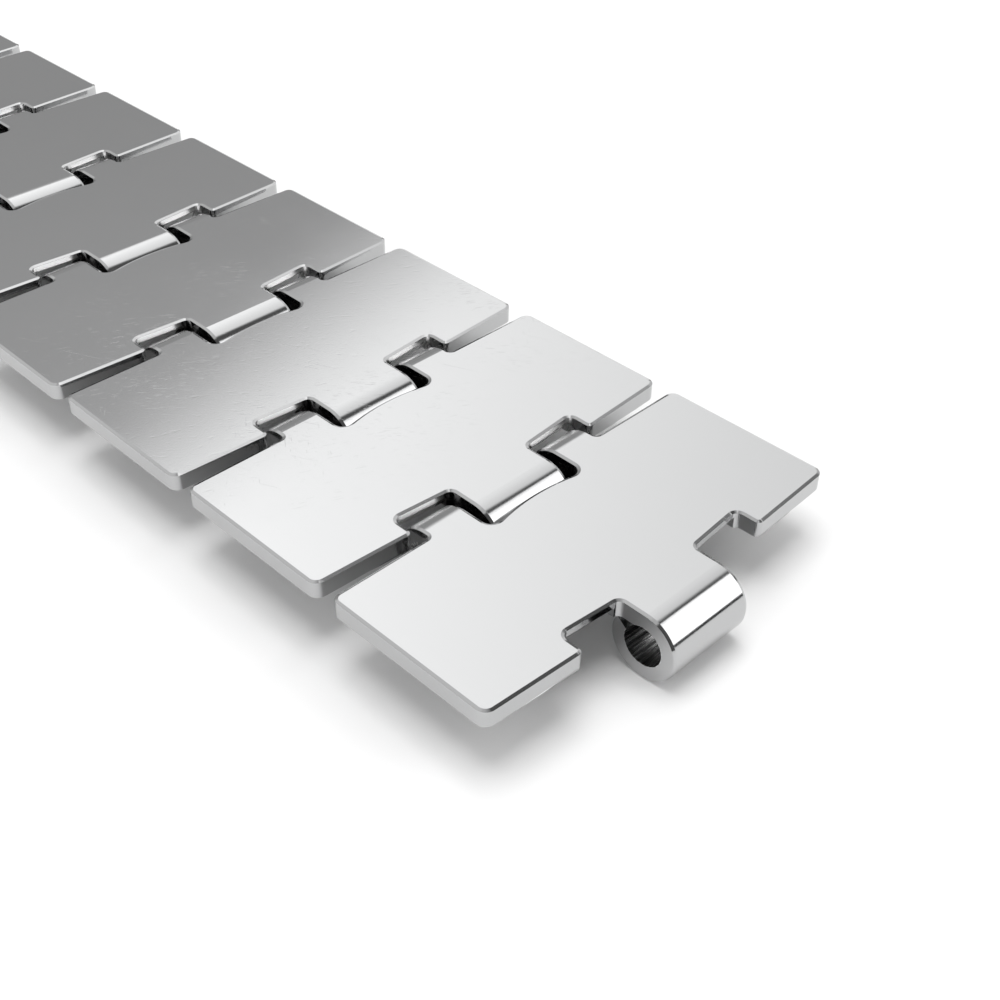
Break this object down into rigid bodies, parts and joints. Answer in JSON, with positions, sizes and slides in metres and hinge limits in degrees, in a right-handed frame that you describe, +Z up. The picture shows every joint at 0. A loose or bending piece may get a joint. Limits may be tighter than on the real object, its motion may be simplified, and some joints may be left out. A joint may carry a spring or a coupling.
{
  "type": "flat top chain",
  "caption": "Straight run of side-flexing flat top chain: rolled steel slats hinged on round pins, with an open knuckle in front and open tabs behind.",
  "frame": {"origin": "centre of the open knuckle at the leading end, on its hinge axis", "axes": "+X the way the chain leads, +Y across it along the hinge axes, +Z up out of the carrying face"},
  "size_m": [0.4321, 0.0826, 0.013],
  "materials": {
    "link_steel": "bright rolled stainless steel",
    "pin_steel": "ground stainless steel"
  },
  "bodies": {
    "link_plate_01": {"link_plate_01": "link_steel"},
    "hinge_pin_01": {"hinge_pin_01": "pin_steel"},
    "link_plate_02": {"link_plate_02": "link_steel"},
    "hinge_pin_02": {"hinge_pin_02": "pin_steel"},
    "link_plate_03": {"link_plate_03": "link_steel"},
    "hinge_pin_03": {"hinge_pin_03": "pin_steel"},
    "link_plate_04": {"link_plate_04": "link_steel"},
    "hinge_pin_04": {"hinge_pin_04": "pin_steel"},
    "link_plate_05": {"link_plate_05": "link_steel"},
    "hinge_pin_05": {"hinge_pin_05": "pin_steel"},
    "link_plate_06": {"link_plate_06": "link_steel"},
    "hinge_pin_06": {"hinge_pin_06": "pin_steel"},
    "link_plate_07": {"link_plate_07": "link_steel"},
    "hinge_pin_07": {"hinge_pin_07": "pin_steel"},
    "link_plate_08": {"link_plate_08": "link_steel"},
    "hinge_pin_08": {"hinge_pin_08": "pin_steel"},
    "link_plate_09": {"link_plate_09": "link_steel"},
    "hinge_pin_09": {"hinge_pin_09": "pin_steel"},
    "link_plate_10": {"link_plate_10": "link_steel"},
    "hinge_pin_10": {"hinge_pin_10": "pin_steel"},
    "link_plate_11": {"link_plate_11": "link_steel"}
  },
  "joints": [
    {"name": "fold_01", "type": "hinge", "parent": "link_plate_01", "child": "hinge_pin_01", "pos_m": [-0.0381, 0, 0], "axis": [0, -1, 0], "range_deg": [-10, 30]},
    {"name": "side_flex_01", "type": "hinge", "parent": "hinge_pin_01", "child": "link_plate_02", "pos_m": [-0.0381, 0, 0], "axis": [0, 0, 1], "range_deg": [-3.5, 3.5]},
    {"name": "fold_02", "type": "hinge", "parent": "link_plate_02", "child": "hinge_pin_02", "pos_m": [-0.0762, 0, 0], "axis": [0, -1, 0], "range_deg": [-10, 30]},
    {"name": "side_flex_02", "type": "hinge", "parent": "hinge_pin_02", "child": "link_plate_03", "pos_m": [-0.0762, 0, 0], "axis": [0, 0, 1], "range_deg": [-3.5, 3.5]},
    {"name": "fold_03", "type": "hinge", "parent": "link_plate_03", "child": "hinge_pin_03", "pos_m": [-0.1143, 0, 0], "axis": [0, -1, 0], "range_deg": [-10, 30]},
    {"name": "side_flex_03", "type": "hinge", "parent": "hinge_pin_03", "child": "link_plate_04", "pos_m": [-0.1143, 0, 0], "axis": [0, 0, 1], "range_deg": [-3.5, 3.5]},
    {"name": "fold_04", "type": "hinge", "parent": "link_plate_04", "child": "hinge_pin_04", "pos_m": [-0.1524, 0, 0], "axis": [0, -1, 0], "range_deg": [-10, 30]},
    {"name": "side_flex_04", "type": "hinge", "parent": "hinge_pin_04", "child": "link_plate_05", "pos_m": [-0.1524, 0, 0], "axis": [0, 0, 1], "range_deg": [-3.5, 3.5]},
    {"name": "fold_05", "type": "hinge", "parent": "link_plate_05", "child": "hinge_pin_05", "pos_m": [-0.1905, 0, 0], "axis": [0, -1, 0], "range_deg": [-10, 30]},
    {"name": "side_flex_05", "type": "hinge", "parent": "hinge_pin_05", "child": "link_plate_06", "pos_m": [-0.1905, 0, 0], "axis": [0, 0, 1], "range_deg": [-3.5, 3.5]},
    {"name": "fold_06", "type": "hinge", "parent": "link_plate_06", "child": "hinge_pin_06", "pos_m": [-0.2286, 0, 0], "axis": [0, -1, 0], "range_deg": [-10, 30]},
    {"name": "side_flex_06", "type": "hinge", "parent": "hinge_pin_06", "child": "link_plate_07", "pos_m": [-0.2286, 0, 0], "axis": [0, 0, 1], "range_deg": [-3.5, 3.5]},
    {"name": "fold_07", "type": "hinge", "parent": "link_plate_07", "child": "hinge_pin_07", "pos_m": [-0.2667, 0, 0], "axis": [0, -1, 0], "range_deg": [-10, 30]},
    {"name": "side_flex_07", "type": "hinge", "parent": "hinge_pin_07", "child": "link_plate_08", "pos_m": [-0.2667, 0, 0], "axis": [0, 0, 1], "range_deg": [-3.5, 3.5]},
    {"name": "fold_08", "type": "hinge", "parent": "link_plate_08", "child": "hinge_pin_08", "pos_m": [-0.3048, 0, 0], "axis": [0, -1, 0], "range_deg": [-10, 30]},
    {"name": "side_flex_08", "type": "hinge", "parent": "hinge_pin_08", "child": "link_plate_09", "pos_m": [-0.3048, 0, 0], "axis": [0, 0, 1], "range_deg": [-3.5, 3.5]},
    {"name": "fold_09", "type": "hinge", "parent": "link_plate_09", "child": "hinge_pin_09", "pos_m": [-0.3429, 0, 0], "axis": [0, -1, 0], "range_deg": [-10, 30]},
    {"name": "side_flex_09", "type": "hinge", "parent": "hinge_pin_09", "child": "link_plate_10", "pos_m": [-0.3429, 0, 0], "axis": [0, 0, 1], "range_deg": [-3.5, 3.5]},
    {"name": "fold_10", "type": "hinge", "parent": "link_plate_10", "child": "hinge_pin_10", "pos_m": [-0.381, 0, 0], "axis": [0, -1, 0], "range_deg": [-10, 30]},
    {"name": "side_flex_10", "type": "hinge", "parent": "hinge_pin_10", "child": "link_plate_11", "pos_m": [-0.381, 0, 0], "axis": [0, 0, 1], "range_deg": [-3.5, 3.5]}
  ]
}
